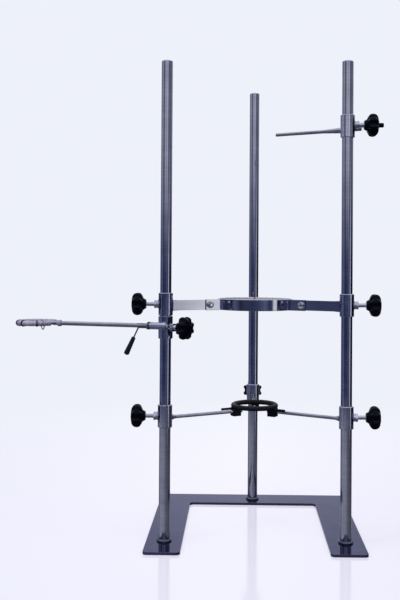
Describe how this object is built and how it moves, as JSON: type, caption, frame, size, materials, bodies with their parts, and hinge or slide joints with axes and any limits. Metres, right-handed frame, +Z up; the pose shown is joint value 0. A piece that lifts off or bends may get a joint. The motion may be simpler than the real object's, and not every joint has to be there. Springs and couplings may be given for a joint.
{
  "type": "laboratory support stand",
  "caption": "Three-post steel laboratory stand with a U-shaped foot, sliding clamp sleeves with star knobs, a vessel clamp band, a rest ring, a side ring arm and a stirrer rod.",
  "frame": {"origin": "on the floor under the vessel's axis, midway between the three posts, in the plane of the foot's underside", "axes": "+X to the user's right, +Y towards the rear post, +Z up along the posts"},
  "size_m": [0.8303, 0.4999, 1.068],
  "materials": {
    "base_steel": "polished",
    "post_steel": "polished",
    "sleeve_steel": "polished",
    "band_steel": "polished",
    "rod_steel": "polished",
    "fastener_steel": "zinc plated",
    "dark_steel": "blackened",
    "black_plastic": "glossy moulded",
    "grip_plastic": "satin",
    "black_rubber": "matte",
    "hose_plastic": "wrapped grey",
    "liner_plastic": "satin white",
    "brass_pad": "machined"
  },
  "bodies": {
    "stand": {"base_plate": "base_steel", "left_post": "post_steel", "right_post": "post_steel", "rear_post": "post_steel", "foot_collars": "sleeve_steel", "foot_screws": "fastener_steel"},
    "vessel_clamp": {"clamp_left_sleeve": "sleeve_steel", "clamp_right_sleeve": "sleeve_steel", "clamp_left_arm": "band_steel", "clamp_right_arm": "band_steel", "clamp_rear_band": "band_steel", "clamp_front_strap": "band_steel", "clamp_liner": "liner_plastic", "clamp_bolts": "fastener_steel", "clamp_nuts": "fastener_steel"},
    "vessel_rest": {"rest_left_sleeve": "sleeve_steel", "rest_right_sleeve": "sleeve_steel", "rest_rear_sleeve": "sleeve_steel", "rest_left_rod": "rod_steel", "rest_right_rod": "rod_steel", "rest_rear_rod": "rod_steel", "rest_ring": "rod_steel", "rest_cushion": "black_rubber", "rest_clips": "black_plastic", "rest_clip_screws": "black_plastic"},
    "side_clamp": {"side_sleeve": "sleeve_steel"},
    "side_arm": {"side_rod": "rod_steel", "side_ring": "rod_steel", "side_ring_cover": "hose_plastic", "side_ring_ties": "black_plastic", "side_ring_loop": "rod_steel", "side_ferrule": "hose_plastic"},
    "lock_lever": {"lever_nut": "dark_steel", "lever_wire": "dark_steel", "lever_grip": "grip_plastic"},
    "stirrer_clamp": {"stirrer_sleeve": "sleeve_steel", "stirrer_rod": "rod_steel"},
    "clamp_left_pressure_pad": {"clamp_left_pad": "brass_pad"},
    "clamp_left_star_knob": {"clamp_left_knob": "black_plastic", "clamp_left_stud": "fastener_steel"},
    "clamp_right_pressure_pad": {"clamp_right_pad": "brass_pad"},
    "clamp_right_star_knob": {"clamp_right_knob": "black_plastic", "clamp_right_stud": "fastener_steel"},
    "rest_left_pressure_pad": {"rest_left_pad": "brass_pad"},
    "rest_left_star_knob": {"rest_left_knob": "black_plastic", "rest_left_stud": "fastener_steel"},
    "rest_right_pressure_pad": {"rest_right_pad": "brass_pad"},
    "rest_right_star_knob": {"rest_right_knob": "black_plastic", "rest_right_stud": "fastener_steel"},
    "rest_rear_pressure_pad": {"rest_rear_pad": "brass_pad"},
    "rest_rear_star_knob": {"rest_rear_knob": "black_plastic", "rest_rear_stud": "fastener_steel"},
    "side_pressure_pad": {"side_pad": "brass_pad"},
    "side_star_knob": {"side_knob": "black_plastic", "side_stud": "fastener_steel"},
    "stirrer_pressure_pad": {"stirrer_pad": "brass_pad"},
    "stirrer_star_knob": {"stirrer_knob": "black_plastic", "stirrer_stud": "fastener_steel"}
  },
  "joints": [
    {"name": "clamp_height", "type": "slide", "parent": "stand", "child": "vessel_clamp", "axis": [0, 0, 1], "range_m": [0, 0.3]},
    {"name": "rest_height", "type": "slide", "parent": "stand", "child": "vessel_rest", "axis": [0, 0, 1], "range_m": [-0.23, 0.1]},
    {"name": "side_swivel", "type": "hinge", "parent": "stand", "child": "side_clamp", "pos_m": [-0.2, -0.11547, 0.477], "axis": [0, 0, 1], "range_deg": [-40, 50]},
    {"name": "side_reach", "type": "slide", "parent": "side_clamp", "child": "side_arm", "axis": [-0.9563, 0.2924, 0], "range_m": [0, 0.025]},
    {"name": "lever_turn", "type": "hinge", "parent": "side_clamp", "child": "lock_lever", "pos_m": [-0.2069, -0.13804, 0.481], "axis": [-0.9563, 0.2924, 0], "range_deg": [-40, 90]},
    {"name": "stirrer_height", "type": "slide", "parent": "stand", "child": "stirrer_clamp", "axis": [0, 0, 1], "range_m": [-0.3, 0.11]},
    {"name": "clamp_left_pad_slide", "type": "slide", "parent": "vessel_clamp", "child": "clamp_left_pressure_pad", "axis": [-1, 0, 0], "range_m": [0, 0.002]},
    {"name": "clamp_left_knob_turn", "type": "hinge", "parent": "clamp_left_pressure_pad", "child": "clamp_left_star_knob", "pos_m": [-0.2, -0.11547, 0.528], "axis": [-1, 0, 0], "range_deg": [-3, 483]},
    {"name": "clamp_right_pad_slide", "type": "slide", "parent": "vessel_clamp", "child": "clamp_right_pressure_pad", "axis": [1, 0, 0], "range_m": [0, 0.002]},
    {"name": "clamp_right_knob_turn", "type": "hinge", "parent": "clamp_right_pressure_pad", "child": "clamp_right_star_knob", "pos_m": [0.2, -0.11547, 0.528], "axis": [1, 0, 0], "range_deg": [-3, 483]},
    {"name": "rest_left_pad_slide", "type": "slide", "parent": "vessel_rest", "child": "rest_left_pressure_pad", "axis": [-1, 0, 0], "range_m": [0, 0.002]},
    {"name": "rest_left_knob_turn", "type": "hinge", "parent": "rest_left_pressure_pad", "child": "rest_left_star_knob", "pos_m": [-0.2, -0.11547, 0.281], "axis": [-1, 0, 0], "range_deg": [-3, 483]},
    {"name": "rest_right_pad_slide", "type": "slide", "parent": "vessel_rest", "child": "rest_right_pressure_pad", "axis": [1, 0, 0], "range_m": [0, 0.002]},
    {"name": "rest_right_knob_turn", "type": "hinge", "parent": "rest_right_pressure_pad", "child": "rest_right_star_knob", "pos_m": [0.2, -0.11547, 0.281], "axis": [1, 0, 0], "range_deg": [-3, 483]},
    {"name": "rest_rear_pad_slide", "type": "slide", "parent": "vessel_rest", "child": "rest_rear_pressure_pad", "axis": [0, 1, 0], "range_m": [0, 0.002]},
    {"name": "rest_rear_knob_turn", "type": "hinge", "parent": "rest_rear_pressure_pad", "child": "rest_rear_star_knob", "pos_m": [0, 0.23094, 0.281], "axis": [0, 1, 0], "range_deg": [-3, 483]},
    {"name": "side_pad_slide", "type": "slide", "parent": "side_clamp", "child": "side_pressure_pad", "axis": [0.8151, -0.5793, 0], "range_m": [0, 0.002]},
    {"name": "side_knob_turn", "type": "hinge", "parent": "side_pressure_pad", "child": "side_star_knob", "pos_m": [-0.2, -0.11547, 0.477], "axis": [0.8151, -0.5793, 0], "range_deg": [-3, 483]},
    {"name": "stirrer_pad_slide", "type": "slide", "parent": "stirrer_clamp", "child": "stirrer_pressure_pad", "axis": [1, 0, 0], "range_m": [0, 0.00233]},
    {"name": "stirrer_knob_turn", "type": "hinge", "parent": "stirrer_pressure_pad", "child": "stirrer_star_knob", "pos_m": [0.2, -0.11547, 0.926], "axis": [1, 0, 0], "range_deg": [-3, 483]}
  ],
  "couplings": [
    {"joint": "clamp_left_knob_turn", "follows": "clamp_left_pad_slide", "rad_per_m": 4188.8},
    {"joint": "clamp_right_knob_turn", "follows": "clamp_right_pad_slide", "rad_per_m": 4188.8},
    {"joint": "rest_left_knob_turn", "follows": "rest_left_pad_slide", "rad_per_m": 4188.8},
    {"joint": "rest_right_knob_turn", "follows": "rest_right_pad_slide", "rad_per_m": 4188.8},
    {"joint": "rest_rear_knob_turn", "follows": "rest_rear_pad_slide", "rad_per_m": 4188.8},
    {"joint": "side_knob_turn", "follows": "side_pad_slide", "rad_per_m": 4188.8},
    {"joint": "stirrer_knob_turn", "follows": "stirrer_pad_slide", "rad_per_m": 3590.4}
  ]
}
